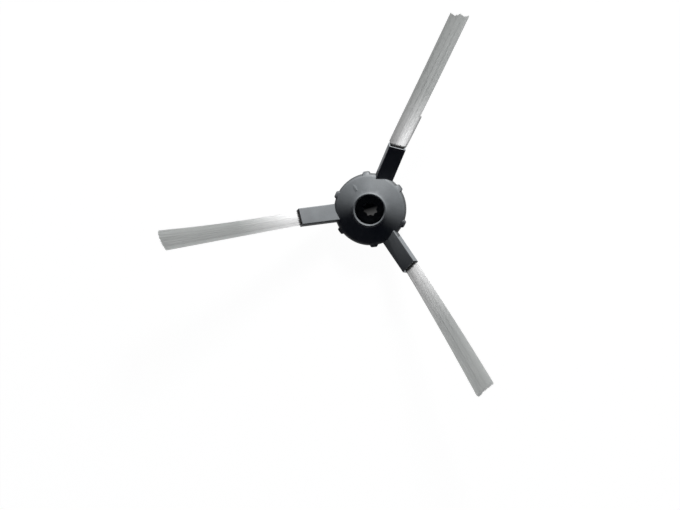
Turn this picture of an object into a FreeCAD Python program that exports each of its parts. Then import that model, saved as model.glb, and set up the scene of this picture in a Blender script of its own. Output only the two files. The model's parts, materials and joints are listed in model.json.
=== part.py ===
import FreeCAD, Part

# Side brush of a robot vacuum: a domed hub with three sleeves, moulded in one piece, and
# a tuft of bristles bonded into each sleeve. The hub's back face stands on z = 0 and its
# axis is +Z. The first sleeve points along +X when seen from above, and the sleeves climb
# away from the hub, because in use the dome faces the floor and the tufts reach down to it.
# All sizes are in millimetres and all angles in degrees.

import math
import os
from collections import namedtuple

from FreeCAD import Placement, Rotation, Vector

# Hub: levels above the back face, from the back to the front
skirt_z = 3.0           # lower rim of the skirt
edge_z = 8.0            # edge where the skirt turns into the dome
recess_floor_z = 6.0    # floor of the round recess in the front
lip_proud = 0.75        # how far the lip of the recess stands above the dome

# Dome: nearly a cone, because its side is a flat arc from the lip to the edge
dome_slope = 25.0       # fall of the arc's chord
dome_bulge = 0.12       # how far the arc stands out from its chord
dome_facets = 4         # conical bands that make up the arc

# Hub: radii and walls
dome_radius = 15.1
edge_bevel = 0.8        # bevel where the dome meets the skirt
dome_wall = 1.7
skirt_wall = 1.5
recess_radius = 6.15
lip_width = 1.15
lip_facets = 6          # flats that make up the lip's round top
boss_wall = 1.5         # wall of the tube round the recess
floor_wall = 1.6        # thickness of the recess floor
foot_radius = 5.8       # lower boss, which holds the drive socket
foot_bevel = 0.5
cutter_overrun = 1.0    # how far the cutters for hollows and pockets run past what they cut

# Drive socket: an eight-pointed star, so that a square peg enters in eight positions
peg_side = 4.5
peg_clearance = 0.1     # added to each square's side
socket_lead_in = 0.7    # depth of the conical mouth at the back

# Lugs on the dome's edge, and the ribs behind them
lug_count = 6
lug_angle = 30.0        # first lug, measured from the first sleeve
lug_proud = 0.85        # how far the lugs' outer faces stand out from the skirt
lug_radius = 1.7
lug_inset = 0.5         # how far the middle of a lug's round lies inside the dome's edge
lug_drop = 0.1          # how far the lugs' tops lie below the dome's surface
lug_bevel = 0.35
rib_thickness = 1.2
rib_inset = 0.8         # how far the ribs stop short of the skirt's lower rim

# Sleeves
sleeve_count = 3
sleeve_slope = 25.5     # climb away from the hub
sleeve_roll = 20.0      # pitch of the flat face about the sleeve's own axis
sleeve_width = 7.4
sleeve_thickness = 3.3
sleeve_round = 0.45
sleeve_wall = 0.5
sleeve_rise_at_edge = -0.95   # height of the sleeve's axis over the dome's edge, at the edge
mouth_radius = 29.4           # distance from the hub's axis to the middle of the mouth
mouth_depth = 3.6             # wide part of the pocket, where the bristles flex
slot_depth = 12.0             # narrow part, measured from the mouth, where they are bonded

# Tufts: bristles stand in rows, and a fused block at the root holds them
bond_gap = 0.05         # adhesive round the root block
strand_rows = 3
strand_columns = 14
strand_width = 0.38     # across the corners of a strand's section
strand_sides = 4
root_margin = 0.05      # block beyond the outermost strands
root_block_length = 7.0
root_embed = 0.4        # how deep the strands start inside the block
tuft_thickness = 0.9    # over the outermost strands, at the root
tip_thickness = 1.8
tip_stagger = 0.7       # bristle ends lie this far before or behind the mean
tuft_droop = 5.5        # how far the tips bend towards the hub's back
tuft_runs = 3           # straight runs that follow the bend of a strand
mouth_run = 2.0         # length of a shorter run before them, over which an early flare opens
stagger_turn = 2.4      # radians from one strand to the next in the wave that staggers the ends
row_shift = 5           # strands that the wave moves on by from row to row
tuft_shift = 3          # the same from tuft to tuft

# Each used tuft has bent and spread in its own way. Its length is measured from the mouth. The
# sideways bend moves the tip and the bow moves the middle, anticlockwise where they are positive.
# The slant is how much further out the tuft's anticlockwise side reaches than its middle.
tuft_1_length = 65.5
tuft_1_tip_width = 7.8
tuft_1_sideways = -4.85
tuft_1_bow = -0.7
tuft_1_slant = -0.6
tuft_2_length = 60.5
tuft_2_tip_width = 8.85
tuft_2_sideways = 0.4
tuft_2_bow = 0.85
tuft_2_slant = -0.7
tuft_3_length = 62.8
tuft_3_tip_width = 9.1
tuft_3_sideways = -5.9
tuft_3_bow = -0.35
tuft_3_slant = 0.3
early_flare = 0.06      # power of the share of the length that the width grows with: at the mouth
even_flare = 1.0        # the same for a width that grows evenly
late_flare = 3.0        # the same for a width that grows near the tip
Spread = namedtuple("Spread", "length tip_width flare sideways bow slant")
tuft_spreads = (
    Spread(tuft_1_length, tuft_1_tip_width, early_flare, tuft_1_sideways, tuft_1_bow, tuft_1_slant),
    Spread(tuft_2_length, tuft_2_tip_width, late_flare, tuft_2_sideways, tuft_2_bow, tuft_2_slant),
    Spread(tuft_3_length, tuft_3_tip_width, even_flare, tuft_3_sideways, tuft_3_bow, tuft_3_slant),
)

# Plain raised bar on the dome, about halfway between the first two sleeves
mark_angle = 57.5
mark_distance = 11.0    # from the hub's axis to the bar's middle
mark_length = 3.0
mark_width = 0.7
mark_proud = 0.2

# Sizes worked out from the ones above
arm_pitch = 360.0 / sleeve_count
slope = math.radians(sleeve_slope)
mouth_along = mouth_radius / math.cos(slope)
lip_radius = recess_radius + lip_width
fall = math.radians(dome_slope)
half_chord = (dome_radius - lip_radius) / (2 * math.cos(fall))
arc_radius = (half_chord ** 2 + dome_bulge ** 2) / (2 * dome_bulge)
arc_centre_r = (dome_radius + lip_radius) / 2 - (arc_radius - dome_bulge) * math.sin(fall)
arc_centre_z = half_chord * math.sin(fall) - (arc_radius - dome_bulge) * math.cos(fall)
dome_crown = arc_centre_z + math.sqrt(arc_radius ** 2 - arc_centre_r ** 2)
sleeve_axis_z = edge_z + sleeve_rise_at_edge - dome_radius * math.tan(slope)
socket_radius = (peg_side + peg_clearance) / math.sqrt(2)
boss_radius = recess_radius + boss_wall
slot_width = sleeve_width - 2 * sleeve_wall
block_width = slot_width - 2 * bond_gap
tuft_width = block_width - 2 * root_margin
block_thickness = tuft_thickness + 2 * root_margin
slot_thickness = block_thickness + 2 * bond_gap
slot_low = sleeve_wall - sleeve_thickness / 2
tuft_mid = slot_low + slot_thickness / 2

UP = Vector(0, 0, 1)
ORIGIN = Vector(0, 0, 0)


def dome_height(radius):
    """Height of the dome over its edge plane at a distance from the axis."""
    return arc_centre_z + math.sqrt(arc_radius ** 2 - (radius - arc_centre_r) ** 2)


def dome_fall(radius):
    """Slope of the dome at a distance from the axis, in degrees below level."""
    return math.degrees(math.asin((radius - arc_centre_r) / arc_radius))


def capped_cylinder(radius, low, cap_base):
    """Upright cylinder closed on top by the dome's cap, whose edge plane lies at cap_base."""
    outline = [Vector(radius, 0, low), Vector(0, 0, low), Vector(0, 0, cap_base + dome_crown)]
    for band in range(dome_facets + 1):
        r = lip_radius + (radius - lip_radius) * band / dome_facets
        outline.append(Vector(r, 0, cap_base + dome_height(r)))
    return Part.Face(Part.makePolygon(outline + outline[:1])).revolve(ORIGIN, UP, 360)


def circles_at(solid, radius, z):
    """Circular edges of a solid that lie at one radius and one height."""
    found = []
    for edge in solid.Edges:
        if edge.Degenerated or not isinstance(edge.Curve, Part.Circle):
            continue
        if abs(edge.Curve.Radius - radius) < 1e-4 and abs(edge.Curve.Center.z - z) < 1e-4:
            found.append(edge)
    return found


def turned(shape, degrees):
    """Copy of a shape turned about the hub's axis."""
    copy = shape.copy()
    copy.rotate(ORIGIN, UP, degrees)
    return copy


def dome_envelope():
    """Outside of the hub without its sleeves, as one full solid."""
    solid = capped_cylinder(dome_radius, skirt_z, edge_z)
    return solid.makeChamfer(edge_bevel, circles_at(solid, dome_radius, edge_z))


def dome_hollow():
    """Space behind the dome, inside the skirt."""
    return capped_cylinder(dome_radius - skirt_wall, skirt_z - cutter_overrun, edge_z - dome_wall)


def middle_of_walls():
    """Solid out to the middle of the dome's and the skirt's walls, which limits what stands inside them."""
    return capped_cylinder(dome_radius - skirt_wall / 2, 0, edge_z - dome_wall / 2)


def boss():
    """Tube round the recess with the narrower foot below it, and the ribs out to the skirt."""
    limit = middle_of_walls()
    tube_low = recess_floor_z - floor_wall
    tube = Part.makeCylinder(boss_radius, edge_z + dome_crown, Vector(0, 0, tube_low), UP)
    foot = Part.makeCylinder(foot_radius, recess_floor_z, ORIGIN, UP)
    foot = foot.makeChamfer(foot_bevel, circles_at(foot, foot_radius, 0))
    ribs = []
    for i in range(lug_count):
        rib = Part.makeBox(dome_radius, rib_thickness, edge_z + dome_crown,
                           Vector(0, -rib_thickness / 2, skirt_z + rib_inset))
        ribs.append(turned(rib, lug_angle + i * 360.0 / lug_count).common(limit))
    return foot.fuse([tube.common(limit)] + ribs)


def lip():
    """Bead round the mouth of the recess, with a half-round top made of flats."""
    half_width = lip_width / 2
    middle = recess_radius + half_width
    top_z = edge_z + dome_height(lip_radius) + lip_proud
    outline = [Vector(recess_radius, 0, edge_z), Vector(lip_radius, 0, edge_z)]
    for step in range(lip_facets + 1):
        turn = math.pi * step / lip_facets
        z = top_z - half_width * (1 - math.sin(turn))
        outline.append(Vector(middle + half_width * math.cos(turn), 0, z))
    return Part.Face(Part.makePolygon(outline + outline[:1])).revolve(ORIGIN, UP, 360)


def lugs():
    """Posts against the skirt, with outer faces round the hub's axis and tops that slope on from the dome."""
    centre = dome_radius - lug_inset
    height = edge_z + dome_crown
    post = Part.makeCylinder(lug_radius, height, Vector(centre, 0, skirt_z), UP)
    post = post.common(Part.makeCylinder(dome_radius + lug_proud, height, Vector(0, 0, skirt_z), UP))
    reach = 2 * dome_radius
    above = Part.makeBox(reach, reach, reach, Vector(-reach / 2, -reach / 2, 0))
    top = Vector(centre, 0, edge_z + dome_height(centre) - lug_drop)
    above.Placement = Placement(top, Rotation(Vector(0, 1, 0), dome_fall(centre)))
    lug = post.cut(above)
    rim = [edge for edge in lug.Edges if edge.BoundBox.ZMin > skirt_z + 1e-4]
    lug = lug.makeChamfer(lug_bevel, rim)
    return [turned(lug, lug_angle + i * 360.0 / lug_count) for i in range(lug_count)]


def mark():
    """Plain raised bar that lies along the dome's surface and points at the hub's axis."""
    depth = dome_wall / 2
    bar = Part.makeBox(mark_length, mark_width, mark_proud + depth,
                       Vector(-mark_length / 2, -mark_width / 2, -depth))
    upright = [edge for edge in bar.Edges if edge.BoundBox.ZLength > depth]
    bar = bar.makeFillet(0.45 * mark_width, upright)
    middle = Vector(mark_distance, 0, edge_z + dome_height(mark_distance))
    bar.Placement = Placement(middle, Rotation(Vector(0, 1, 0), dome_fall(mark_distance)))
    return turned(bar, mark_angle)


def drive_socket():
    """Cutter for the eight-pointed socket: two squares an eighth of a turn apart, with a conical mouth."""
    side = peg_side + peg_clearance
    square = Part.makeBox(side, side, recess_floor_z + 2 * cutter_overrun,
                          Vector(-side / 2, -side / 2, -cutter_overrun))
    mouth = Part.makeCone(socket_radius + socket_lead_in / 2, socket_radius - socket_lead_in / 2,
                          socket_lead_in, ORIGIN, UP)
    return square.fuse([turned(square, 45), mouth])


def sleeve_placement(index):
    """Frame of a sleeve: X out along its axis, Y across its width anticlockwise, Z out of its front face."""
    angle = index * arm_pitch
    along_slope = Rotation(Vector(0, 1, 0), -sleeve_slope)
    rolled = Rotation(Vector(1, 0, 0), sleeve_roll)
    turn = Rotation(UP, angle)
    return Placement(Vector(0, 0, sleeve_axis_z), turn.multiply(along_slope).multiply(rolled))


def in_sleeve_frame(shape, index):
    """Moves a shape from a sleeve's own frame into the hub's frame."""
    shape.Placement = sleeve_placement(index).multiply(shape.Placement)
    return shape


def local_box(start, end, width, low, high):
    """Box in a sleeve's frame, from start to end along the axis and from low to high in thickness."""
    return Part.makeBox(end - start, width, high - low, Vector(start, -width / 2, low))


def sleeve_bar(index):
    """Outside of one sleeve, from the boss to its mouth, with rounded long edges."""
    inner_end = boss_radius / math.cos(slope)
    bar = local_box(inner_end, mouth_along, sleeve_width, -sleeve_thickness / 2, sleeve_thickness / 2)
    long_edges = [edge for edge in bar.Edges if edge.BoundBox.XLength > mouth_along - inner_end - 1e-4]
    bar = bar.makeFillet(sleeve_round, long_edges)
    bar = in_sleeve_frame(bar, index)
    below_skirt = Part.makeCylinder(dome_radius, skirt_z + dome_radius, Vector(0, 0, -dome_radius), UP)
    return bar.cut(below_skirt)


def sleeve_root(index):
    """Solid inside the hub that fills the space between a sleeve's inner stretch and the dome."""
    inner_end = boss_radius / math.cos(slope)
    block = local_box(inner_end, dome_radius / math.cos(slope), slot_width, 0, edge_z + dome_crown)
    return in_sleeve_frame(block, index).common(middle_of_walls())


def sleeve_pocket(index):
    """Cutter for the wide mouth of a sleeve and the slot behind it that takes the root block."""
    mouth_high = sleeve_thickness / 2 - sleeve_wall
    past_end = mouth_along + cutter_overrun
    mouth = local_box(mouth_along - mouth_depth, past_end, slot_width, slot_low, mouth_high)
    slot = local_box(mouth_along - slot_depth, past_end, slot_width, slot_low, slot_low + slot_thickness)
    return in_sleeve_frame(mouth.fuse(slot), index)


def hub():
    """The moulding: dome, skirt, boss, ribs, lugs and sleeves in one solid, with its recess and pockets."""
    shell = dome_envelope().cut(dome_hollow())
    sleeves = [sleeve_bar(i) for i in range(sleeve_count)] + [sleeve_root(i) for i in range(sleeve_count)]
    body = shell.fuse([boss(), lip(), mark()] + lugs() + sleeves)
    recess = Part.makeCylinder(recess_radius, edge_z + dome_crown, Vector(0, 0, recess_floor_z), UP)
    pockets = [sleeve_pocket(i) for i in range(sleeve_count)]
    return body.cut([recess, drive_socket()] + pockets).removeSplitter()


def strand_path(across, through, ragged, spread):
    """Points of one strand's centre line in its sleeve's frame, from inside the root block to the tip.

    across and through run from -1 to 1 over the tuft's width and thickness.
    """
    root_y = (tuft_width - strand_width) / 2
    root_z = (tuft_thickness - strand_width) / 2
    tip_y = (spread.tip_width - strand_width) / 2
    tip_z = (tip_thickness - strand_width) / 2
    length = spread.length + spread.slant * across + tip_stagger * ragged
    block_end = mouth_along - slot_depth + bond_gap + root_block_length
    points = [Vector(block_end - root_embed, root_y * across, tuft_mid + root_z * through)]
    shares = [0, mouth_run / spread.length] + [(run + 1) / tuft_runs for run in range(tuft_runs)]
    for share in shares:
        bend = spread.sideways * share ** 2 + spread.bow * 4 * share * (1 - share)
        y = (root_y + (tip_y - root_y) * share ** spread.flare) * across + bend
        z = (root_z + (tip_z - root_z) * share) * through - tuft_droop * share ** 2
        points.append(Vector(mouth_along + length * share, y, tuft_mid + z))
    return points


def strand(points):
    """Straight-sided strand whose section keeps its size and direction along the points."""
    corners = []
    for k in range(strand_sides):
        turn = 2 * math.pi * k / strand_sides
        corners.append(Vector(0, strand_width / 2 * math.sin(turn), strand_width / 2 * math.cos(turn)))
    rings = [[point + corner for corner in corners] for point in points]
    faces = [Part.Face(Part.makePolygon(ring + ring[:1])) for ring in (rings[0], rings[-1])]
    for near, far in zip(rings, rings[1:]):
        for k in range(strand_sides):
            n = (k + 1) % strand_sides
            faces.append(Part.Face(Part.makePolygon([near[k], near[n], far[n], far[k], near[k]])))
    solid = Part.Solid(Part.Shell(faces))
    if solid.Volume < 0:
        solid.reverse()
    return solid


def tuft(index):
    """One tuft: the fused root block in its slot, and staggered rows of strands with ragged ends."""
    block_start = mouth_along - slot_depth + bond_gap
    block = local_box(block_start, block_start + root_block_length, block_width,
                      tuft_mid - block_thickness / 2, tuft_mid + block_thickness / 2)
    strands = []
    for row in range(strand_rows):
        shifted = row % 2       # every other row has one strand fewer and stands between its neighbours
        for column in range(strand_columns - shifted):
            across = (2 * column + shifted) / (strand_columns - 1) - 1
            through = 2 * row / (strand_rows - 1) - 1
            ragged = math.sin(stagger_turn * (column + row_shift * row + tuft_shift * index))
            strands.append(strand(strand_path(across, through, ragged, tuft_spreads[index])))
    return in_sleeve_frame(block.fuse(strands), index)


def main():
    os.makedirs("parts", exist_ok=True)
    hub().exportStep("parts/hub.step")
    for index in range(sleeve_count):
        tuft(index).exportStep(f"parts/tuft_{index + 1}.step")


main()
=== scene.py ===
import json
import math

import bmesh
import bpy
from mathutils import Matrix, Vector, noise

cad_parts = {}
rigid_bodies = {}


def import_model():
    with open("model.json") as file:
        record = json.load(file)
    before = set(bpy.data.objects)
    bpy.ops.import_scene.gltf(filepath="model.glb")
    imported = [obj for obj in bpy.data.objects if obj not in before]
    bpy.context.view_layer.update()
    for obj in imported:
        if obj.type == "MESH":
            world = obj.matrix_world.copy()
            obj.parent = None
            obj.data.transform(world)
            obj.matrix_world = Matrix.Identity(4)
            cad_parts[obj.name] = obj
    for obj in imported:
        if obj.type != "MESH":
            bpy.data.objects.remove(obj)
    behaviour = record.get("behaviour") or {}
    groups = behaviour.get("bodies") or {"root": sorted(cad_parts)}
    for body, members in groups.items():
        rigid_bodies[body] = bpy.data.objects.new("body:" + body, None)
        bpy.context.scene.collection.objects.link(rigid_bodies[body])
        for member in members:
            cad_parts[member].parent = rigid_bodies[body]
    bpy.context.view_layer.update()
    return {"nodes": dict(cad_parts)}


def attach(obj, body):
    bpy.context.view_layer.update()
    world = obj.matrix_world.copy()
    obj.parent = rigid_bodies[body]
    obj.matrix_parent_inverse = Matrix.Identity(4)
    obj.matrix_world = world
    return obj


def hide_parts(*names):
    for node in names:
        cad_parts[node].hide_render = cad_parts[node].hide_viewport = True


# Looks of a robot vacuum's side brush: a hub of matte moulded plastic and three tufts of nylon
# bristles, on a white floor. The hub, the bristles and the floor each have lamps of their own.
# Blender's own unit is the metre, so sizes in millimetres are written as a number times MM. The
# angles among the named values are in degrees.

bl_info = {
    "name": "Side Brush",
    "version": (1, 0, 0),
    "blender": (4, 5, 0),
    "location": "3D View > Sidebar > Side Brush",
    "description": "Dresses a vacuum's side brush in moulded plastic and nylon bristles",
    "category": "Object",
}

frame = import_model()

MM = 0.001

# Hub, as the solid model has it. The rim and its lugs lie within the rim's reach of the dome's edge,
# inwards and outwards, and the foot is the ring round the socket that the hub stands on
DOME_RADIUS = 15.1 * MM
RIM_REACH = 1.7 * MM
RECESS_RADIUS = 6.15 * MM
FOOT_RADIUS = 5.8 * MM

# Sleeves, as the solid model has them. Their axis height is where it passes the dome's edge
TUFTS = 3
ARM_PITCH = 120.0
SLEEVE_SLOPE = 25.5
SLEEVE_ROLL = 20.0
SLEEVE_AXIS_AT_EDGE = 7.05 * MM
MOUTH_RADIUS = 29.4 * MM
SLOT_DEPTH = 12.0 * MM
SLEEVE_THICKNESS = 3.3 * MM
SLEEVE_WALL = 0.5 * MM

# Block at each tuft's root. Its dents reach a share of the way to its middle, and the bristles stand in
# it by the embed
BOND_GAP = 0.05 * MM
BLOCK_WIDTH = 6.3 * MM
BLOCK_LENGTH = 7.0 * MM
BLOCK_THICKNESS = 1.0 * MM
BLOCK_EDGE = 0.2 * MM
DENT_WIDTH = 0.8 * MM
DENT_SHARE = 0.02
SORT_ALONG = Vector((1.0, 0.31, 0.17))
ROOT_EMBED = 0.4 * MM

# What follows from them, in a sleeve's own frame: how far along its axis the mouth lies, at what height
# that axis meets the hub's axis, where the root block starts, and how high the tuft's middle lies
slope = math.radians(SLEEVE_SLOPE)
mouth_along = MOUTH_RADIUS / math.cos(slope)
sleeve_axis_z = SLEEVE_AXIS_AT_EDGE - DOME_RADIUS * math.tan(slope)
block_start = mouth_along - SLOT_DEPTH + BOND_GAP
tuft_mid = SLEEVE_WALL - SLEEVE_THICKNESS / 2 + BOND_GAP + BLOCK_THICKNESS / 2

# Bristles of a tuft, runs of each from its root to its tip, and sides of its section
FILAMENTS = 320
RUNS = 10
SIDES = 5

# Welding and bevelling of the hub's triangles
WELD_DISTANCE = 0.002 * MM
FLAT_ANGLE = 0.5
SHARP_ANGLE = 40.0

# Widths of the patterns in the plastics. Real mould grain is about 0.05 mm, too fine to show in the
# picture, so it is drawn coarser
PATCH_WIDTH = 5.0 * MM
GRAIN_WIDTH = 0.3 * MM
POLISH_WIDTH = 9.0 * MM
GLINT_LENGTH = 1.5 * MM
LUMP_WIDTH = 0.6 * MM
ABS_IOR = 1.54
NYLON_IOR = 1.53
# Nearly all values of a noise texture lie between these
NOISE_SPAN = (0.3, 0.7)

# Stage: the paper's width, the lamps' distance and widths, and the side that the light painted under the
# hub's foot comes from
PAPER_WIDTH = 6.0
LAMP_DISTANCE = 1.2
KEY_WIDTH = 0.3
GLOW_WIDTH = 1.0
SOCKET_LIGHT_FROM = Vector((-0.777, -0.629, 0.0))
# Radius, lowest and highest level of two collars that lie in the hub's walls: round the recess up to its
# lip, and in the foot
FLAG_COLLARS = ((6.6 * MM, 4.7 * MM, 12.2 * MM), (5.2 * MM, 0.2 * MM, 5.8 * MM))
FLAG_SIDES = 96

# Camera that looks down on the dome, measured from the photograph: the turn of the first sleeve in the
# picture, two small tilts, where the hub's axis lies in the picture, and how far away the camera stands
PICTURE_WIDTH = 680
PIXELS_PER_MM = 2.381
HUB_TURN = 66.23
TILT_ACROSS = 3.21
TILT_UP = 2.91
VIEW_CENTRE = Vector((-13.0 * MM, -19.49 * MM, 0.5))


def linear(code):
    """Linear colour of an sRGB hex value."""
    parts = [int(code[i:i + 2], 16) / 255 for i in (1, 3, 5)]
    return tuple(p / 12.92 if p <= 0.04045 else ((p + 0.055) / 1.055) ** 2.4 for p in parts)


def add(tree, kind, inputs=(), **settings):
    """Adds a node with its settings, and sets or links its inputs, given by place or by name."""
    new = tree.nodes.new(kind)
    for name, value in settings.items():
        setattr(new, name, value)
    pairs = inputs.items() if isinstance(inputs, dict) else enumerate(inputs)
    for key, value in pairs:
        if isinstance(value, bpy.types.Node):
            value = value.outputs[0]
        if isinstance(value, bpy.types.NodeSocket):
            tree.links.new(value, new.inputs[key])
        else:
            new.inputs[key].default_value = value
    return new


def empty_material(name):
    """New material with no nodes, and its tree."""
    material = bpy.data.materials.new(name)
    material.use_nodes = True
    material.node_tree.nodes.clear()
    return material, material.node_tree


def moulded_abs(look):
    """ABS moulded against a spark-eroded mould: an even matte grain, with a soft sheen at a grazing view."""
    material, tree = empty_material("moulded_abs")
    place = add(tree, "ShaderNodeTexCoord").outputs["Object"]
    # The melt cools unevenly, which leaves patches of a slightly other tone a few millimetres wide
    patches = add(tree, "ShaderNodeTexNoise", {"Vector": place, "Scale": 1 / PATCH_WIDTH, "Detail": 3.0})
    grain = add(tree, "ShaderNodeTexNoise", {"Vector": place, "Scale": 1 / GRAIN_WIDTH, "Detail": 2.0})
    tone = add(tree, "ShaderNodeMapRange", [patches, *NOISE_SPAN, 0.92, 1.07])
    speckle = add(tree, "ShaderNodeMapRange", [grain, *NOISE_SPAN, 0.95, 1.05])
    shade = add(tree, "ShaderNodeMath", [tone, speckle], operation="MULTIPLY")
    # Painted shade: the steep rim and its lugs are darkened against the dome, the more the steeper they are
    normal = add(tree, "ShaderNodeNewGeometry").outputs["Normal"]
    facing_up = add(tree, "ShaderNodeSeparateXYZ", [normal]).outputs[2]
    steep = add(tree, "ShaderNodeMapRange", [facing_up, 0.4, 0.8, look.rim_painted_shade, 1.0])
    flat = add(tree, "ShaderNodeVectorMath", [place, (1.0, 1.0, 0.0)], operation="MULTIPLY")
    radius = add(tree, "ShaderNodeVectorMath", [flat], operation="LENGTH").outputs["Value"]
    at_rim = add(tree, "ShaderNodeMath", [radius, DOME_RADIUS, RIM_REACH], operation="COMPARE")
    rim = add(tree, "ShaderNodeMix", {0: at_rim, 2: 1.0, 3: steep}, data_type="FLOAT")
    shade = add(tree, "ShaderNodeMath", [shade, rim], operation="MULTIPLY")
    # Painted shade darkens the floor and walls of the recess, so that they show nearly black
    inner, outer = RECESS_RADIUS - 0.1 * MM, RECESS_RADIUS + 0.1 * MM
    painted_darkening = add(tree, "ShaderNodeMapRange", [radius, inner, outer, look.recess_painted_shade, 1.0])
    shade = add(tree, "ShaderNodeMath", [shade, painted_darkening], operation="MULTIPLY")
    colour = add(tree, "ShaderNodeVectorMath", {0: look.plastic_colour, "Scale": shade}, operation="SCALE")
    # Floor contact polishes some places and scuffs others
    polish = add(tree, "ShaderNodeTexNoise", {"Vector": place, "Scale": 1 / POLISH_WIDTH, "Detail": 4.0})
    roughness = add(tree, "ShaderNodeMapRange", [polish, *NOISE_SPAN, 0.56, 0.66])
    bump = add(tree, "ShaderNodeBump", {"Height": grain, "Strength": 0.35, "Distance": 0.02 * MM})
    surface = add(tree, "ShaderNodeBsdfPrincipled", {
        "Base Color": colour, "Roughness": roughness, "IOR": ABS_IOR, "Normal": bump})
    add(tree, "ShaderNodeOutputMaterial", {"Surface": surface})
    return material


def nylon_filament(look):
    """Extruded nylon: satin filaments, lighter next to the sleeve and greyer to the tips."""
    material, tree = empty_material("nylon_filament")
    # The tufts carry three attributes: the share of the length, the filament's tone, and how far out it is
    along = add(tree, "ShaderNodeAttribute", attribute_name="along").outputs["Fac"]
    tone = add(tree, "ShaderNodeAttribute", attribute_name="tone").outputs["Fac"]
    from_mouth = add(tree, "ShaderNodeAttribute", attribute_name="from_mouth").outputs["Fac"]
    ramp = add(tree, "ShaderNodeValToRGB", {"Fac": along})
    stops = ramp.color_ramp.elements
    stops[0].color = (*look.root_colour, 1)
    stops[1].color = (*look.tip_colour, 1)
    white_until, grey_from = stops.new(0.08), stops.new(0.45)
    white_until.color = (*look.root_colour, 1)
    grey_from.color = (*look.middle_colour, 1)
    shade = add(tree, "ShaderNodeMapRange", [tone, 0.0, 1.0, 0.8, 1.08], clamp=False)
    # Painted shade: the filaments start nearly black in the mouth and lighten within a millimetre outside it
    painted_darkening = add(tree, "ShaderNodeMapRange", [from_mouth, 0.6 * MM, 1.2 * MM, 0.02, 1.0])
    shade = add(tree, "ShaderNodeMath", [shade, painted_darkening], operation="MULTIPLY")
    colour = add(tree, "ShaderNodeVectorMath", {0: ramp, "Scale": shade}, operation="SCALE")
    place = add(tree, "ShaderNodeTexCoord").outputs["Object"]
    # Extrusion leaves the diameter a little uneven, which shows as glints a millimetre or two long
    drawn = add(tree, "ShaderNodeTexNoise", {"Vector": place, "Scale": 1 / GLINT_LENGTH, "Detail": 1.0})
    roughness = add(tree, "ShaderNodeMapRange", [drawn, *NOISE_SPAN, 0.5, 0.6])
    surface = add(tree, "ShaderNodeBsdfPrincipled", {
        "Base Color": colour, "Roughness": roughness, "IOR": NYLON_IOR})
    add(tree, "ShaderNodeOutputMaterial", {"Surface": surface})
    return material


def fused_nylon(look):
    """Bristle ends melted into one block: milky, lumpy and duller than the filaments."""
    material, tree = empty_material("fused_nylon")
    place = add(tree, "ShaderNodeTexCoord").outputs["Object"]
    lumps = add(tree, "ShaderNodeTexNoise", {"Vector": place, "Scale": 1 / LUMP_WIDTH, "Detail": 3.0})
    shade = add(tree, "ShaderNodeMapRange", [lumps, *NOISE_SPAN, 0.75, 1.0])
    colour = add(tree, "ShaderNodeVectorMath", {0: look.middle_colour, "Scale": shade}, operation="SCALE")
    bump = add(tree, "ShaderNodeBump", {"Height": lumps, "Strength": 0.5, "Distance": 0.05 * MM})
    surface = add(tree, "ShaderNodeBsdfPrincipled", {
        "Base Color": colour, "Roughness": 0.6, "IOR": NYLON_IOR, "Normal": bump})
    add(tree, "ShaderNodeOutputMaterial", {"Surface": surface})
    return material


def white_paper(look):
    """Matte white paper, which shows white to the camera and in reflections and keeps a faint shadow."""
    material, tree = empty_material("white_paper")
    path = add(tree, "ShaderNodeLightPath")
    seen = add(tree, "ShaderNodeMath", [path.outputs["Is Camera Ray"], path.outputs["Is Glossy Ray"]],
               operation="MAXIMUM")
    seen = add(tree, "ShaderNodeMath", [seen, path.outputs["Is Transmission Ray"]], operation="MAXIMUM")
    # Under the hub's foot the paper's white glow gives way to a painted light, nearly black, which is what
    # shows through the socket
    place = add(tree, "ShaderNodeTexCoord").outputs["Object"]
    distance = add(tree, "ShaderNodeVectorMath", [place], operation="LENGTH").outputs["Value"]
    open_paper = add(tree, "ShaderNodeMath", [distance, FOOT_RADIUS - 0.5 * MM], operation="GREATER_THAN")
    # The painted light grows brighter towards one side, as if light came in under the hub from there
    aside = add(tree, "ShaderNodeVectorMath", [place, SOCKET_LIGHT_FROM],
                operation="DOT_PRODUCT").outputs["Value"]
    under = add(tree, "ShaderNodeMapRange", [aside, -0.5 * MM, 2.1 * MM, 0.0, look.socket_painted_light])
    strength = add(tree, "ShaderNodeMix", {0: open_paper, 2: under, 3: look.paper_glow}, data_type="FLOAT")
    glow = add(tree, "ShaderNodeEmission", {"Strength": strength})
    matte = add(tree, "ShaderNodeBsdfDiffuse", {"Color": (*look.paper_colour, 1)})
    share = add(tree, "ShaderNodeMath", [seen, look.paper_glow_share], operation="MULTIPLY")
    mixed = add(tree, "ShaderNodeMixShader", [share, matte, glow])
    add(tree, "ShaderNodeOutputMaterial", {"Surface": mixed})
    return material


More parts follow.
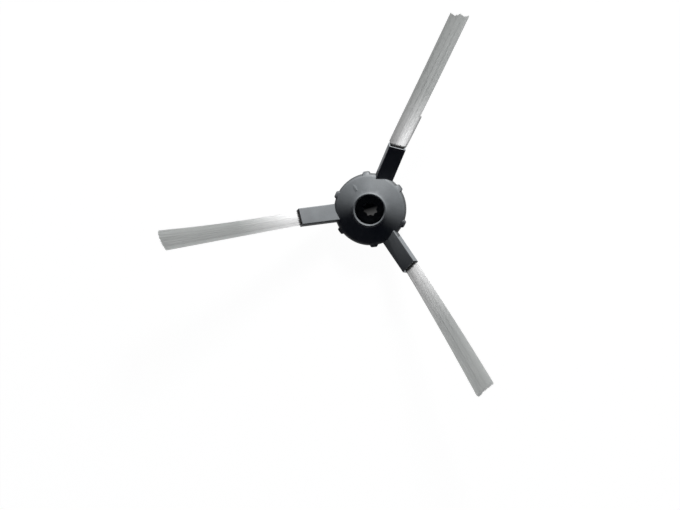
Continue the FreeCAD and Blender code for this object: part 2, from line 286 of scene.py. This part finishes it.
class SideBrushLook(bpy.types.PropertyGroup):
    """Sizes and colours of the dressed brush"""
    plastic_colour: bpy.props.FloatVectorProperty(
        name="Plastic Colour", description="Colour of the moulded hub",
        subtype="COLOR", min=0, max=1, default=linear("#7c8083"))
    # Painted shade on the hub's steep rim and lugs
    rim_painted_shade: bpy.props.FloatProperty(
        name="Rim Shade", description="Tone of the hub's upright rim against its dome",
        min=0, max=1, default=0.3)
    # Painted shade in the hub's recess
    recess_painted_shade: bpy.props.FloatProperty(
        name="Recess Shade", description="Tone of the hub's recess against its dome",
        min=0, max=1, default=0.35)
    root_colour: bpy.props.FloatVectorProperty(
        name="Root Colour", description="Colour of the bristles next to the sleeves",
        subtype="COLOR", min=0, max=1, default=linear("#c8c8c8"))
    middle_colour: bpy.props.FloatVectorProperty(
        name="Middle Colour", description="Colour of the bristles halfway out",
        subtype="COLOR", min=0, max=1, default=linear("#a1a3a2"))
    tip_colour: bpy.props.FloatVectorProperty(
        name="Tip Colour", description="Colour of the bristles at their tips",
        subtype="COLOR", min=0, max=1, default=linear("#9d9f9e"))
    edge_softness: bpy.props.FloatProperty(
        name="Edge Softness", description="Width of the bevel on the hub's sharp edges",
        unit="LENGTH", precision=5, min=0, default=0.12 * MM)
    filament_count: bpy.props.IntProperty(
        name="Filaments", description="Bristles in each tuft", min=3, default=FILAMENTS)
    filament_diameter: bpy.props.FloatProperty(
        name="Filament Diameter", description="Diameter of one bristle",
        unit="LENGTH", precision=5, min=0, default=0.17 * MM)
    seeds: bpy.props.IntVectorProperty(
        name="Seeds", description="Seed of each tuft's random values", size=3, min=0, default=(5, 6, 11))
    tuft_width: bpy.props.FloatProperty(
        name="Tuft Width", description="Width over the outermost bristles at the mouth",
        unit="LENGTH", precision=5, min=0, default=6.2 * MM)
    tuft_thickness: bpy.props.FloatProperty(
        name="Tuft Thickness", description="Thickness over the outermost bristles at the mouth",
        unit="LENGTH", precision=5, min=0, default=0.9 * MM)
    tip_thickness: bpy.props.FloatProperty(
        name="Tip Thickness", description="Thickness over the outermost bristles at the tips",
        unit="LENGTH", precision=5, min=0, default=1.8 * MM)
    droop: bpy.props.FloatProperty(
        name="Droop", description="How far the tips bend towards the hub's back",
        unit="LENGTH", precision=5, default=5.5 * MM)
    lengths: bpy.props.FloatVectorProperty(
        name="Lengths", description="Length of each tuft outside its mouth",
        size=3, unit="LENGTH", precision=5, default=(65.5 * MM, 60.5 * MM, 62.8 * MM))
    tip_widths: bpy.props.FloatVectorProperty(
        name="Tip Widths", description="Width of each tuft at its tip",
        size=3, unit="LENGTH", precision=5, default=(8.5 * MM, 9.0 * MM, 9.35 * MM))
    flares: bpy.props.FloatVectorProperty(
        name="Flares", description="How late each tuft's width grows, as a power of the share of its length",
        size=3, default=(0.06, 2.0, 1.0))
    sideways: bpy.props.FloatVectorProperty(
        name="Sideways", description="Sideways bend of each tuft's tip, anticlockwise where positive",
        size=3, unit="LENGTH", precision=5, default=(-5.15 * MM, 0.4 * MM, -6.0 * MM))
    bows: bpy.props.FloatVectorProperty(
        name="Bows", description="Sideways bow of each tuft's middle, anticlockwise where positive",
        size=3, unit="LENGTH", precision=5, default=(-0.92 * MM, 0.85 * MM, -0.4 * MM))
    slants: bpy.props.FloatVectorProperty(
        name="Slants",
        description="How much further out each tuft's anticlockwise side reaches than its middle",
        size=3, unit="LENGTH", precision=5, default=(-0.6 * MM, -0.7 * MM, 0.3 * MM))
    short_edges: bpy.props.FloatVectorProperty(
        name="Short Edges",
        description="Width of each tuft's short part at its clockwise side, where 2 is the whole width",
        size=3, min=0, default=(0.16, 0.0, 0.0))
    short_length: bpy.props.FloatProperty(
        name="Short Length", description="Length of the short filaments, as a share of the others'",
        min=0, default=0.245)
    end_waves: bpy.props.FloatVectorProperty(
        name="End Waves", description="Half waves across the width of each tuft's worn end",
        size=3, default=(4.0, 1.0, 2.0))
    end_heights: bpy.props.FloatVectorProperty(
        name="End Heights", description="Height of the wave in each tuft's worn end",
        size=3, unit="LENGTH", precision=5, default=(0.5 * MM, 0.6 * MM, -0.15 * MM))
    # Painted light along both edges of each tuft, painted shade where negative
    edge_painted_tones: bpy.props.FloatVectorProperty(
        name="Edge Tones", description="How much lighter each tuft is at both its sides",
        size=3, default=(-0.4, 1.2, 0.6))
    base_tones: bpy.props.FloatVectorProperty(
        name="Base Tones", description="How light the middle of each tuft is",
        size=3, default=(0.45, -0.1, -0.1))
    # Painted light on each tuft's anticlockwise side, painted shade where negative
    side_painted_tones: bpy.props.FloatVectorProperty(
        name="Side Tones", description="How much lighter each tuft's anticlockwise side is than its middle",
        size=3, default=(-0.5, -0.4, 0.4))
    # A painted highlight band at each tuft's root, and painted shade on the root beside it
    highlight_places: bpy.props.FloatVectorProperty(
        name="Band Places", description="Place across each tuft of the bright band at its root, from -1 to 1",
        size=3, default=(-0.35, -0.7, 1.0))
    highlight_reaches: bpy.props.FloatVectorProperty(
        name="Band Reaches", description="How far each bright band reaches to either side",
        size=3, default=(1.0, 2.2, 2.2))
    highlight_tones: bpy.props.FloatVectorProperty(
        name="Band Tones", description="How much lighter each bright band is",
        size=3, default=(2.4, 2.2, 2.5))
    root_painted_shades: bpy.props.FloatVectorProperty(
        name="Root Tones", description="How much lighter each tuft's root is beside its bright band",
        size=3, default=(-1.2, 0.0, -1.7))
    paper_colour: bpy.props.FloatVectorProperty(
        name="Paper Colour", description="Colour of the floor",
        subtype="COLOR", min=0, max=1, default=linear("#f2f2f2"))
    paper_glow: bpy.props.FloatProperty(
        name="Paper Glow", description="White that the floor shows to the camera, where 1 is white",
        default=1.22)
    paper_glow_share: bpy.props.FloatProperty(
        name="Paper Glow Share",
        description="How much of the floor's look is plain white and keeps no shadow",
        min=0, max=1, default=0.8)
    # Painted light under the hub's foot, seen through the drive socket
    socket_painted_light: bpy.props.FloatProperty(
        name="Socket Light", description="Light that shows through the drive socket", default=0.08)
    key_level: bpy.props.FloatProperty(
        name="Key Level", description="Level of the hub's lamp, where 1 shows a colour as it is written",
        default=1.76)
    bristle_key_level: bpy.props.FloatProperty(
        name="Bristle Key Level", description="Level of the side lamps of the bristles and the floor",
        default=0.3)
    bristle_level: bpy.props.FloatProperty(
        name="Bristle Level", description="Level of the bristles' lamp from above", default=1.0)
    ambient_level: bpy.props.FloatProperty(
        name="Ambient Level", description="Level of the light from all round", default=0.03)
    ambient_colour: bpy.props.FloatVectorProperty(
        name="Ambient Colour", description="Colour of the light from all round, which the shadows take on",
        subtype="COLOR", min=0, max=1, default=linear("#8f96bd"))


def place_piece(name, mesh, material):
    """Makes a finished piece of the brush from a mesh that lies where it belongs."""
    piece = bpy.data.objects.new(name, mesh)
    bpy.context.scene.collection.objects.link(piece)
    mesh.materials.clear()
    mesh.materials.append(material)
    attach(piece, "root")
    return piece


def plain_mesh(holder, name):
    """Plain mesh of an object with its modifiers applied. The object is removed."""
    bpy.context.view_layer.update()
    evaluated = holder.evaluated_get(bpy.context.evaluated_depsgraph_get())
    mesh = bpy.data.meshes.new_from_object(evaluated)
    mesh.name = name
    bpy.data.objects.remove(holder)
    return mesh


def sleeve_matrix(index):
    """Frame of a sleeve: X out along its axis, Y anticlockwise across it, Z out of its front face."""
    turn = Matrix.Rotation(math.radians(index * ARM_PITCH), 4, "Z")
    climb = Matrix.Rotation(-slope, 4, "Y")
    roll = Matrix.Rotation(math.radians(SLEEVE_ROLL), 4, "X")
    return Matrix.Translation((0, 0, sleeve_axis_z)) @ turn @ climb @ roll


def softened_copy(source, width):
    """Copy of a solid's mesh with its triangles welded, its flats joined and its sharp edges bevelled."""
    mesh = source.data.copy()
    if "custom_normal" in mesh.attributes:
        mesh.attributes.remove(mesh.attributes["custom_normal"])
    work = bmesh.new()
    work.from_mesh(mesh)
    bmesh.ops.remove_doubles(work, verts=work.verts, dist=WELD_DISTANCE)
    bmesh.ops.dissolve_limit(work, angle_limit=math.radians(FLAT_ANGLE), verts=work.verts,
                             edges=work.edges)
    work.to_mesh(mesh)
    work.free()
    sharp = math.radians(SHARP_ANGLE)
    holder = bpy.data.objects.new("hub_softening", mesh)
    bpy.context.scene.collection.objects.link(holder)
    bevel = holder.modifiers.new("soft edges", "BEVEL")
    bevel.width = width
    bevel.segments = 2
    bevel.limit_method = "ANGLE"
    bevel.angle_limit = sharp
    bevel.use_clamp_overlap = True
    finished = plain_mesh(holder, "hub_moulding")
    finished.shade_smooth()
    finished.set_sharp_from_angle(angle=sharp)
    return finished


def filament_tree():
    """Node group that grows one tuft in its sleeve's frame from named sizes."""
    tree = bpy.data.node_groups.new("tuft_of_filaments", "GeometryNodeTree")
    tree.interface.new_socket(name="Geometry", in_out="OUTPUT", socket_type="NodeSocketGeometry")
    counts = {"Filaments": FILAMENTS, "Runs": RUNS, "Sides": SIDES, "Seed": 1}
    sizes = ("Diameter", "Start", "Mouth", "Middle", "Width", "Thickness", "Tip Width", "Tip Thickness",
             "Length", "Flare", "Sideways", "Bow", "Slant", "Droop", "End Waves", "End Height", "Stagger",
             "Stray", "Clump", "Clumps", "Short Edge", "Short Length", "Bunching", "Tone Spread",
             "Base Tone", "Edge Painted Tone", "Side Painted Tone", "Short Tone", "Root Reach", "Root Painted Shade", "Highlight Place",
             "Highlight Reach", "Highlight Tone", "Painted Shade Spread")
    for name, value in counts.items():
        count = tree.interface.new_socket(name=name, in_out="INPUT", socket_type="NodeSocketInt")
        count.default_value = value
    for name in sizes:
        tree.interface.new_socket(name=name, in_out="INPUT", socket_type="NodeSocketFloat")
    tree.interface.new_socket(name="Material", in_out="INPUT", socket_type="NodeSocketMaterial")
    given = add(tree, "NodeGroupInput").outputs

    # One straight line of unit length, copied once for each filament
    line = add(tree, "GeometryNodeCurvePrimitiveLine", {"End": (1.0, 0.0, 0.0)})
    points = add(tree, "ShaderNodeMath", [given["Runs"], 1.0], operation="ADD")
    line = add(tree, "GeometryNodeResampleCurve", {"Curve": line, "Count": points})
    copies = add(tree, "GeometryNodeDuplicateElements", {"Geometry": line, "Amount": given["Filaments"]},
                 domain="SPLINE")
    number = copies.outputs["Duplicate Index"]
    factor = add(tree, "GeometryNodeSplineParameter").outputs["Factor"]

    # Where a filament stands: evenly spread over the width, and at random in the thickness
    jitter = add(tree, "FunctionNodeRandomValue", {2: 0.0, 3: 1.0, "ID": number, "Seed": given["Seed"]})
    place = add(tree, "ShaderNodeMath", [number, jitter.outputs[1]], operation="ADD")
    place = add(tree, "ShaderNodeMath", [place, given["Filaments"]], operation="DIVIDE")
    across = add(tree, "ShaderNodeMath", [place, 2.0, -1.0], operation="MULTIPLY_ADD")
    # Four random values of a filament, from a lowest value to 1, each with a seed of its own
    draws = []
    for lowest, offset in ((-1.0, 11.0), (-1.0, 23.0), (0.0, 37.0), (-1.0, 41.0)):
        seed = add(tree, "ShaderNodeMath", [given["Seed"], offset], operation="ADD")
        value = add(tree, "FunctionNodeRandomValue", {2: lowest, 3: 1.0, "ID": number, "Seed": seed})
        draws.append(value.outputs[1])
    through, chance, own_tone, lean = draws

    # Neighbours cling together in clumps that lean the same way. Each seed has its own stretch of noise
    stretch = add(tree, "ShaderNodeMath", [given["Seed"], 7.3], operation="MULTIPLY")
    where = add(tree, "ShaderNodeMath", [across, stretch], operation="ADD")
    clumps = add(tree, "ShaderNodeTexNoise", {"W": where, "Scale": given["Clumps"], "Detail": 1.5},
                 noise_dimensions="1D")
    clump = add(tree, "ShaderNodeSeparateXYZ", [clumps.outputs["Color"]])
    clump_y = add(tree, "ShaderNodeMath", [clump.outputs[0], 0.5], operation="SUBTRACT")
    clump_z = add(tree, "ShaderNodeMath", [clump.outputs[1], 0.5], operation="SUBTRACT")

    # Length of a filament outside the mouth: slanted, waved and staggered, and short along one edge
    turn = add(tree, "ShaderNodeMath", [across, given["End Waves"]], operation="MULTIPLY")
    turn = add(tree, "ShaderNodeMath", [turn, math.pi / 2], operation="MULTIPLY")
    wave = add(tree, "ShaderNodeMath", [turn], operation="COSINE")
    length = add(tree, "ShaderNodeMath", [wave, given["End Height"], given["Length"]],
                 operation="MULTIPLY_ADD")
    length = add(tree, "ShaderNodeMath", [across, given["Slant"], length], operation="MULTIPLY_ADD")
    length = add(tree, "ShaderNodeMath", [chance, given["Stagger"], length], operation="MULTIPLY_ADD")
    edge = add(tree, "ShaderNodeMath", [given["Short Edge"], 1.0], operation="SUBTRACT")
    is_short = add(tree, "ShaderNodeMath", [across, edge], operation="LESS_THAN")
    shortened = add(tree, "ShaderNodeMath", [length, given["Short Length"]], operation="MULTIPLY")
    length = add(tree, "ShaderNodeMix", {0: is_short, 2: length, 3: shortened}, data_type="FLOAT")

    # The first run lies inside the sleeve, and the share of the full length counts from the mouth
    inside = add(tree, "ShaderNodeMath", [1.0, given["Runs"]], operation="DIVIDE")
    outside = add(tree, "ShaderNodeMath", [1.0, inside], operation="SUBTRACT")
    past = add(tree, "ShaderNodeMath", [factor, inside], operation="SUBTRACT")
    past = add(tree, "ShaderNodeMath", [past, 0.0], operation="MAXIMUM")
    own_share = add(tree, "ShaderNodeMath", [past, outside], operation="DIVIDE")
    # Points bunch up near the mouth, where a tuft can open within a millimetre
    own_share = add(tree, "ShaderNodeMath", [own_share, given["Bunching"]], operation="POWER")
    reach = add(tree, "ShaderNodeMath", [own_share, length], operation="MULTIPLY")
    share = add(tree, "ShaderNodeMath", [reach, given["Length"]], operation="DIVIDE")
    bend = add(tree, "ShaderNodeMath", [share, 2.0], operation="POWER")
    behind = add(tree, "ShaderNodeMath", [factor, given["Runs"]], operation="MULTIPLY")
    behind = add(tree, "ShaderNodeMath", [1.0, behind], operation="SUBTRACT")
    behind = add(tree, "ShaderNodeMath", [behind, 0.0], operation="MAXIMUM")
    step_in = add(tree, "ShaderNodeMath", [given["Start"], given["Mouth"]], operation="SUBTRACT")
    x = add(tree, "ShaderNodeMath", [given["Mouth"], reach], operation="ADD")
    x = add(tree, "ShaderNodeMath", [behind, step_in, x], operation="MULTIPLY_ADD")

    # Across the width: the tuft flares, bends and bows sideways, and leans clump by clump
    grow = add(tree, "ShaderNodeMath", [share, given["Flare"]], operation="POWER")
    gain = add(tree, "ShaderNodeMath", [given["Tip Width"], given["Width"]], operation="SUBTRACT")
    root = add(tree, "ShaderNodeMath", [given["Width"], given["Diameter"]], operation="SUBTRACT")
    wide = add(tree, "ShaderNodeMath", [grow, gain, root], operation="MULTIPLY_ADD")
    wide = add(tree, "ShaderNodeMath", [wide, 0.5], operation="MULTIPLY")
    y = add(tree, "ShaderNodeMath", [wide, across], operation="MULTIPLY")
    y = add(tree, "ShaderNodeMath", [bend, given["Sideways"], y], operation="MULTIPLY_ADD")
    middle = add(tree, "ShaderNodeMath", [share, bend], operation="SUBTRACT")
    middle = add(tree, "ShaderNodeMath", [middle, 4.0], operation="MULTIPLY")
    y = add(tree, "ShaderNodeMath", [middle, given["Bow"], y], operation="MULTIPLY_ADD")
    shift = add(tree, "ShaderNodeMath", [clump_y, given["Clump"]], operation="MULTIPLY")
    shift = add(tree, "ShaderNodeMath", [lean, given["Stray"], shift], operation="MULTIPLY_ADD")
    y = add(tree, "ShaderNodeMath", [shift, share, y], operation="MULTIPLY_ADD")

    # Through the thickness: it opens, droops and leans clump by clump
    gain = add(tree, "ShaderNodeMath", [given["Tip Thickness"], given["Thickness"]], operation="SUBTRACT")
    root = add(tree, "ShaderNodeMath", [given["Thickness"], given["Diameter"]], operation="SUBTRACT")
    thick = add(tree, "ShaderNodeMath", [share, gain, root], operation="MULTIPLY_ADD")
    thick = add(tree, "ShaderNodeMath", [thick, 0.5], operation="MULTIPLY")
    z = add(tree, "ShaderNodeMath", [thick, through, given["Middle"]], operation="MULTIPLY_ADD")
    drop = add(tree, "ShaderNodeMath", [given["Droop"], -1.0], operation="MULTIPLY")
    z = add(tree, "ShaderNodeMath", [bend, drop, z], operation="MULTIPLY_ADD")
    shift = add(tree, "ShaderNodeMath", [clump_z, given["Clump"]], operation="MULTIPLY")
    z = add(tree, "ShaderNodeMath", [shift, share, z], operation="MULTIPLY_ADD")

    # How light a filament is: by chance, by clump, by painted light and shade on the tuft's side and edges,
    # and darker where it is short, a painted shade, because the short ones lie lower, in the shade of the
    # others
    spread = given["Tone Spread"]
    tone = add(tree, "ShaderNodeMath", [own_tone, spread, given["Base Tone"]], operation="MULTIPLY_ADD")
    tone = add(tree, "ShaderNodeMath", [clump.outputs[2], spread, tone], operation="MULTIPLY_ADD")
    side = add(tree, "ShaderNodeMath", [across, 4.0], operation="POWER")
    tone = add(tree, "ShaderNodeMath", [side, given["Edge Painted Tone"], tone], operation="MULTIPLY_ADD")
    tone = add(tree, "ShaderNodeMath", [across, given["Side Painted Tone"], tone], operation="MULTIPLY_ADD")
    tone = add(tree, "ShaderNodeMath", [is_short, given["Short Tone"], tone], operation="MULTIPLY_ADD")
    # Near the sleeve a painted highlight lies in one band along the tuft, and painted shade darkens the root
    # beside it
    near_root = add(tree, "ShaderNodeMapRange", [share, 0.0, given["Root Reach"], 1.0, 0.0])
    off_band = add(tree, "ShaderNodeMath", [across, given["Highlight Place"]], operation="SUBTRACT")
    off_band = add(tree, "ShaderNodeMath", [off_band], operation="ABSOLUTE")
    band = add(tree, "ShaderNodeMapRange", [off_band, 0.0, given["Highlight Reach"], 1.0, 0.0],
               interpolation_type="SMOOTHSTEP")
    band = add(tree, "ShaderNodeMath", [band, given["Highlight Tone"], given["Root Painted Shade"]],
               operation="MULTIPLY_ADD")
    tone = add(tree, "ShaderNodeMath", [near_root, band, tone], operation="MULTIPLY_ADD")
    # The painted shade at the mouth ends nearer to it on some filaments than on others
    from_mouth = add(tree, "ShaderNodeMath", [x, given["Mouth"]], operation="SUBTRACT")
    from_mouth = add(tree, "ShaderNodeMath", [own_tone, given["Painted Shade Spread"], from_mouth],
                     operation="MULTIPLY_ADD")
    # The material reads these three
    kept = copies
    for name, value in (("along", share), ("tone", tone), ("from_mouth", from_mouth)):
        kept = add(tree, "GeometryNodeStoreNamedAttribute", {"Geometry": kept, "Name": name, "Value": value},
                   data_type="FLOAT", domain="POINT")
    position = add(tree, "ShaderNodeCombineXYZ", [x, y, z])
    curves = add(tree, "GeometryNodeSetPosition", {"Geometry": kept, "Position": position})
    radius = add(tree, "ShaderNodeMath", [given["Diameter"], 0.5], operation="MULTIPLY")
    section = add(tree, "GeometryNodeCurvePrimitiveCircle", {"Resolution": given["Sides"], "Radius": radius})
    solid = add(tree, "GeometryNodeCurveToMesh",
                {"Curve": curves, "Profile Curve": section, "Fill Caps": True})
    smooth = add(tree, "GeometryNodeSetShadeSmooth", {"Geometry": solid})
    real = add(tree, "GeometryNodeRealizeInstances", {"Geometry": smooth})
    finished = add(tree, "GeometryNodeSetMaterial", {"Geometry": real, "Material": given["Material"]})
    add(tree, "NodeGroupOutput", {"Geometry": finished})
    return tree


def grown_tuft(tree, index, look, material):
    """Plain mesh of one tuft's filaments, in place on the brush."""
    name = f"tuft_{index + 1}_filaments"
    holder = bpy.data.objects.new(name, bpy.data.meshes.new(name))
    bpy.context.scene.collection.objects.link(holder)
    grow = holder.modifiers.new("grow", "NODES")
    grow.node_group = tree
    values = {
        "Filaments": look.filament_count,
        "Runs": RUNS,
        "Sides": SIDES,
        "Seed": look.seeds[index],
        "Diameter": look.filament_diameter,
        "Start": block_start + BLOCK_LENGTH - ROOT_EMBED,
        "Mouth": mouth_along,
        "Middle": tuft_mid,
        "Width": look.tuft_width,
        "Thickness": look.tuft_thickness,
        "Tip Width": look.tip_widths[index],
        "Tip Thickness": look.tip_thickness,
        "Length": look.lengths[index],
        "Flare": look.flares[index],
        "Sideways": look.sideways[index],
        "Bow": look.bows[index],
        "Slant": look.slants[index],
        "Droop": look.droop,
        "End Waves": look.end_waves[index],
        "End Height": look.end_heights[index],
        "Stagger": 0.35 * MM,
        "Stray": 0.06 * MM,
        "Clump": 0.3 * MM,
        "Clumps": 7.0,
        "Short Edge": look.short_edges[index],
        "Short Length": look.short_length,
        "Bunching": 1.8,
        "Tone Spread": 0.5,
        "Base Tone": look.base_tones[index],
        "Edge Painted Tone": look.edge_painted_tones[index],
        "Side Painted Tone": look.side_painted_tones[index],
        "Short Tone": -1.4,
        "Root Reach": 0.45,
        "Root Painted Shade": look.root_painted_shades[index],
        "Highlight Place": look.highlight_places[index],
        "Highlight Reach": look.highlight_reaches[index],
        "Highlight Tone": look.highlight_tones[index],
        "Painted Shade Spread": 0.6 * MM,
        "Material": material,
    }
    for item in tree.interface.items_tree:
        if item.item_type == "SOCKET" and item.in_out == "INPUT":
            grow[item.identifier] = values[item.name]
    mesh = plain_mesh(holder, name)
    mesh.transform(sleeve_matrix(index))
    return mesh


def fused_block(index):
    """Mesh of the block that the bristles' inner ends are melted into: a lumpy slab with rounded edges."""
    work = bmesh.new()
    size = Matrix.Diagonal((BLOCK_LENGTH, BLOCK_WIDTH, BLOCK_THICKNESS, 1))
    middle = Matrix.Translation((block_start + BLOCK_LENGTH / 2, 0, tuft_mid))
    bmesh.ops.create_cube(work, size=1.0, matrix=middle @ size)
    bmesh.ops.bevel(work, geom=work.edges[:], offset=BLOCK_EDGE, segments=2, profile=0.5, affect="EDGES")
    bmesh.ops.subdivide_edges(work, edges=work.edges[:], cuts=2, use_grid_fill=True)
    for vertex in work.verts:
        dent = 0.5 + 0.5 * noise.noise(vertex.co / DENT_WIDTH)
        vertex.co += (middle.translation - vertex.co) * DENT_SHARE * dent
    # The steps above leave a few faces in an order that changes from run to run
    work.verts.sort(key=lambda vertex: vertex.co.dot(SORT_ALONG))
    work.faces.sort(key=lambda face: face.calc_center_median().dot(SORT_ALONG))
    mesh = bpy.data.meshes.new(f"tuft_{index + 1}_root_block")
    work.to_mesh(mesh)
    work.free()
    mesh.shade_smooth()
    mesh.transform(sleeve_matrix(index))
    return mesh


class SIDEBRUSH_OT_dress_hub(bpy.types.Operator):
    """Dresses the hub as one matte plastic moulding with softened edges"""
    bl_idname = "side_brush.dress_hub"
    bl_label = "Dress Hub"

    def execute(self, context):
        look = context.scene.side_brush
        mesh = softened_copy(frame["nodes"]["hub"], look.edge_softness)
        hub = place_piece("hub_moulding", mesh, moulded_abs(look))
        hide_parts("hub")
        return {"FINISHED"}


class SIDEBRUSH_OT_grow_tufts(bpy.types.Operator):
    """Grows a tuft of bristles out of each sleeve, with the fused block at its root"""
    bl_idname = "side_brush.grow_tufts"
    bl_label = "Grow Tufts"

    def execute(self, context):
        look = context.scene.side_brush
        tree = filament_tree()
        nylon = nylon_filament(look)
        fused = fused_nylon(look)
        for index in range(TUFTS):
            node = f"tuft_{index + 1}"
            mesh = grown_tuft(tree, index, look, nylon)
            filaments = place_piece(f"{node}_filaments", mesh, nylon)
            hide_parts(node)
            block = place_piece(f"{node}_root_block", fused_block(index), fused)
            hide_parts(node)
        return {"FINISHED"}


class SIDEBRUSH_OT_set_stage(bpy.types.Operator):
    """Lays the white floor and sets up the lamps, the world and the camera"""
    bl_idname = "side_brush.set_stage"
    bl_label = "Set Stage"

    def execute(self, context):
        look = context.scene.side_brush
        lay_floor(context.scene, look)
        hang_lamps(context.scene, look)
        light_world(context.scene, look)
        aim_camera(context.scene)
        return {"FINISHED"}


def lay_floor(scene, look):
    """Lays a wide square of white paper under the brush."""
    mesh = bpy.data.meshes.new("floor")
    half = PAPER_WIDTH / 2
    corners = [(-half, -half, 0), (half, -half, 0), (half, half, 0), (-half, half, 0)]
    mesh.from_pydata(corners, [], [(0, 1, 2, 3)])
    mesh.materials.append(white_paper(look))
    floor = bpy.data.objects.new("floor", mesh)
    scene.collection.objects.link(floor)


def hang_lamp(scene, name, azimuth, elevation, width, level):
    """Hangs a round lamp that faces the brush. Level 1 shows a colour that faces it as it is written."""
    data = bpy.data.lights.new(name, "AREA")
    data.shape = "DISK"
    data.size = width
    data.energy = level * math.pi ** 2 * (LAMP_DISTANCE ** 2 + (width / 2) ** 2)
    lamp = bpy.data.objects.new(name, data)
    turn = math.radians(azimuth)
    rise = math.radians(elevation)
    direction = Vector((math.cos(rise) * math.cos(turn), math.cos(rise) * math.sin(turn), math.sin(rise)))
    lamp.location = direction * LAMP_DISTANCE
    lamp.rotation_euler = direction.to_track_quat("Z", "Y").to_euler()
    lamp.visible_camera = False
    scene.collection.objects.link(lamp)
    return lamp


def grouped(scene, name, things):
    """Collection that names the things a lamp lights, or the things that block it."""
    group = bpy.data.collections.new(name)
    scene.collection.children.link(group)
    for thing in things:
        group.objects.link(thing)
    return group


def hang_flag(scene):
    """Hides collars in the walls of the recess and the foot, which keep the hub's lamp out as walls do."""
    mesh = bpy.data.meshes.new("recess_flag")
    work = bmesh.new()
    for radius, low, high in FLAG_COLLARS:
        bmesh.ops.create_cone(work, cap_ends=False, segments=FLAG_SIDES, radius1=radius, radius2=radius,
                              depth=high - low, matrix=Matrix.Translation((0, 0, (low + high) / 2)))
    work.to_mesh(mesh)
    work.free()
    flag = bpy.data.objects.new("recess_flag", mesh)
    scene.collection.objects.link(flag)
    return flag


def hang_lamps(scene, look):
    """Hangs one low key lamp for the hub, one for the floor, and two for the bristles."""
    filaments = [piece for piece in scene.objects if piece.name.endswith("_filaments")]
    bristles = grouped(scene, "bristles", filaments)
    # The hub's lamp hangs lower than the sleeves climb, so a sleeve's shadow would cover half the dome.
    # Nothing but the collars in the hub's walls blocks this lamp
    hub_alone = grouped(scene, "hub_alone", [scene.objects["hub_moulding"]])
    key = hang_lamp(scene, "hub_key", azimuth=10, elevation=11, width=KEY_WIDTH, level=look.key_level)
    key.light_linking.receiver_collection = hub_alone
    key.light_linking.blocker_collection = grouped(scene, "flags", [hang_flag(scene)])
    from_side = {"azimuth": 8, "elevation": 30, "width": KEY_WIDTH, "level": look.bristle_key_level}
    floor_key = hang_lamp(scene, "floor_key", **from_side)
    floor_key.light_linking.receiver_collection = grouped(scene, "floor_alone", [scene.objects["floor"]])
    # Nylon lets light through, so only the hub blocks the bristles' lamps, and no bristle shades another
    bristle_key = hang_lamp(scene, "bristle_key", **from_side)
    glow = hang_lamp(scene, "bristle_glow", azimuth=220, elevation=86, width=GLOW_WIDTH,
                     level=look.bristle_level)
    for lamp in (bristle_key, glow):
        lamp.light_linking.receiver_collection = bristles
        lamp.light_linking.blocker_collection = hub_alone


def light_world(scene, look):
    """Fills the scene with a faint light from all round, and shows white behind the floor's edge."""
    world = bpy.data.worlds.new("studio")
    world.use_nodes = True
    tree = world.node_tree
    tree.nodes.clear()
    path = add(tree, "ShaderNodeLightPath")
    seen = path.outputs["Is Camera Ray"]
    strength = add(tree, "ShaderNodeMapRange", [seen, 0.0, 1.0, look.ambient_level, 1.0])
    colour = add(tree, "ShaderNodeMix", {0: seen, 6: (*look.ambient_colour, 1), 7: (1, 1, 1, 1)},
                 data_type="RGBA").outputs[2]
    light = add(tree, "ShaderNodeBackground", {"Color": colour, "Strength": strength})
    add(tree, "ShaderNodeOutputWorld", {"Surface": light})
    scene.world = world


def aim_camera(scene):
    """Aims a camera without perspective down at the dome, a little from one side."""
    data = bpy.data.cameras.new("camera")
    data.type = "ORTHO"
    data.ortho_scale = PICTURE_WIDTH / PIXELS_PER_MM * MM
    up = math.radians(TILT_UP)
    across = math.radians(TILT_ACROSS)
    turn = math.radians(HUB_TURN)
    to_view = Matrix.Rotation(up, 3, "X") @ Matrix.Rotation(-across, 3, "Y") @ Matrix.Rotation(turn, 3, "Z")
    to_world = to_view.transposed()
    camera = bpy.data.objects.new("camera", data)
    camera.matrix_world = Matrix.Translation(to_world @ VIEW_CENTRE) @ to_world.to_4x4()
    scene.collection.objects.link(camera)
    scene.camera = camera


class SIDEBRUSH_PT_panel(bpy.types.Panel):
    """Sizes, colours and steps of the side brush"""
    bl_idname = "SIDEBRUSH_PT_panel"
    bl_label = "Side Brush"
    bl_space_type = "VIEW_3D"
    bl_region_type = "UI"
    bl_category = "Side Brush"

    def draw(self, context):
        look = context.scene.side_brush
        for step in operators:
            self.layout.operator(step.bl_idname)
        for name in look.bl_rna.properties.keys():
            if name not in ("rna_type", "name"):
                self.layout.prop(look, name)


operators = (SIDEBRUSH_OT_dress_hub, SIDEBRUSH_OT_grow_tufts, SIDEBRUSH_OT_set_stage)
classes = (SideBrushLook, *operators, SIDEBRUSH_PT_panel)


def register():
    for kind in classes:
        bpy.utils.register_class(kind)
    bpy.types.Scene.side_brush = bpy.props.PointerProperty(type=SideBrushLook)


def unregister():
    del bpy.types.Scene.side_brush
    for kind in reversed(classes):
        bpy.utils.unregister_class(kind)


def main():
    """Registers the add-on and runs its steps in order."""
    register()
    scene = bpy.context.scene
    scene.view_settings.view_transform = "Standard"
    bpy.ops.side_brush.dress_hub()
    bpy.ops.side_brush.grow_tufts()
    bpy.ops.side_brush.set_stage()


if __name__ == "__main__":
    main()
